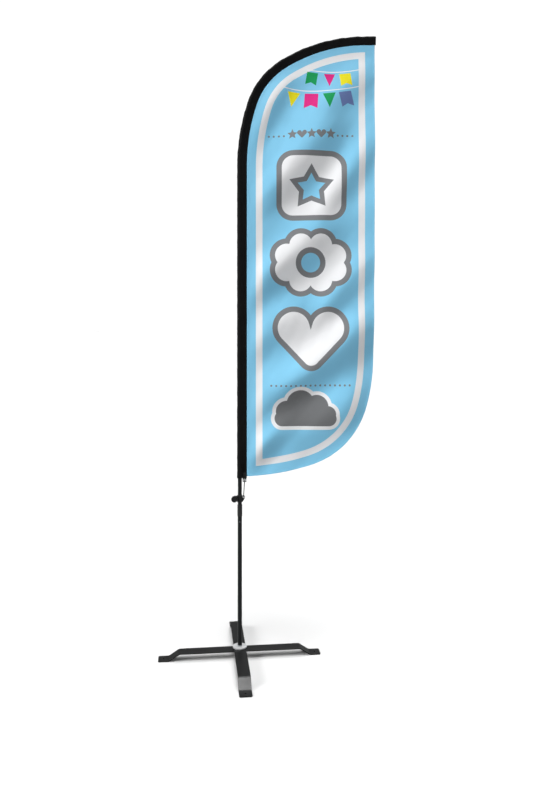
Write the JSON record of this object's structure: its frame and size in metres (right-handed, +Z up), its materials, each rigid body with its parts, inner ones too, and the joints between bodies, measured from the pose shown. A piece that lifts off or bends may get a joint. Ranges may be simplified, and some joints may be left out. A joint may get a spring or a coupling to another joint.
{
  "type": "feather flag",
  "caption": "Tall feather flag with a curved black sleeve on a sectional pole, turning on a folding cross base, with a tension clamp and elastic loop.",
  "frame": {"origin": "on the pole's axis, at floor level, in the middle of the circle of the four peg holes", "axes": "+Z up along the pole, the flag out along +X, its front facing -Y"},
  "size_m": [1.1865, 0.8844, 3.3945],
  "materials": {
    "bar_steel": "black powder coat, satin",
    "zinc_plate": "zinc-plated steel",
    "disc_finish": "pale turned aluminium, satin",
    "bearing_steel": "ground bearing steel",
    "cage_brass": "machined brass",
    "nylon_black": "moulded nylon",
    "pole_aluminium": "black anodised tube",
    "fibreglass": "black fibreglass",
    "cap_rubber": "soft rubber",
    "sleeve_cloth": "black stretch polyester with a faint sheen",
    "flag_cloth": "light blue printed knitted polyester",
    "webbing": "woven webbing",
    "elastic_cord": "braided elastic cord",
    "clamp_plastic": "glass-filled nylon",
    "knob_plastic": "moulded grip knob"
  },
  "bodies": {
    "base": {"lower_bar": "bar_steel", "bar_washer": "nylon_black", "hub_tube": "zinc_plate", "hub_disc": "disc_finish", "bearing_outer_ring": "bearing_steel", "bearing_circlip": "zinc_plate"},
    "upper_bar": {"upper_bar": "bar_steel"},
    "bearing_set": {"bearing_cage": "cage_brass", "bearing_balls": "bearing_steel"},
    "spindle": {"spindle": "zinc_plate", "spindle_nut": "zinc_plate", "bearing_inner_ring": "bearing_steel"},
    "lower_mast": {"pole_foot_bush": "nylon_black", "lower_pole": "pole_aluminium", "lower_ferrule": "nylon_black", "stop_rivet": "zinc_plate"},
    "flag_mast": {"middle_pole": "pole_aluminium", "upper_stop_ring": "zinc_plate", "upper_pole": "fibreglass", "tip_stop_ring": "zinc_plate", "tip_rod": "fibreglass", "tip_cap": "cap_rubber", "pole_sleeve": "sleeve_cloth", "flag_panel": "flag_cloth", "sleeve_tab": "webbing", "tab_eyelet": "zinc_plate", "elastic_loop": "elastic_cord"},
    "clamp": {"clamp_collar": "clamp_plastic", "clamp_nut": "zinc_plate"},
    "screw_carrier": {"clamp_washer": "zinc_plate"},
    "knob": {"clamp_screw": "zinc_plate", "clamp_knob": "knob_plastic"}
  },
  "joints": [
    {"name": "bar_fold", "type": "hinge", "parent": "base", "child": "upper_bar", "pos_m": [0, 0, 0.045], "axis": [0, 0, 1], "range_deg": [-76, 76]},
    {"name": "flag_spin", "type": "hinge", "parent": "base", "child": "spindle", "pos_m": [0, 0, 0.048], "axis": [0, 0, 1], "continuous": true},
    {"name": "ball_orbit", "type": "hinge", "parent": "base", "child": "bearing_set", "pos_m": [0, 0, 0.048], "axis": [0, 0, 1], "continuous": true},
    {"name": "mast_lift", "type": "slide", "parent": "spindle", "child": "lower_mast", "axis": [0, 0, 1], "range_m": [0, 0.17]},
    {"name": "section_lift", "type": "slide", "parent": "lower_mast", "child": "flag_mast", "axis": [0, 0, 1], "range_m": [0, 0.088]},
    {"name": "clamp_slide", "type": "slide", "parent": "flag_mast", "child": "clamp", "axis": [0, 0, 1], "range_m": [0, 0.045], "deforming": ["elastic_loop"]},
    {"name": "knob_advance", "type": "slide", "parent": "clamp", "child": "screw_carrier", "axis": [0, -1, 0], "range_m": [0, 0.002]},
    {"name": "knob_turn", "type": "hinge", "parent": "screw_carrier", "child": "knob", "pos_m": [-0.029, 0, 0.8615], "axis": [0, -1, 0], "range_deg": [0, 720]}
  ],
  "couplings": [
    {"joint": "ball_orbit", "follows": "flag_spin", "ratio": 0.3667},
    {"joint": "knob_advance", "follows": "knob_turn", "m_per_rad": 0.000159}
  ]
}
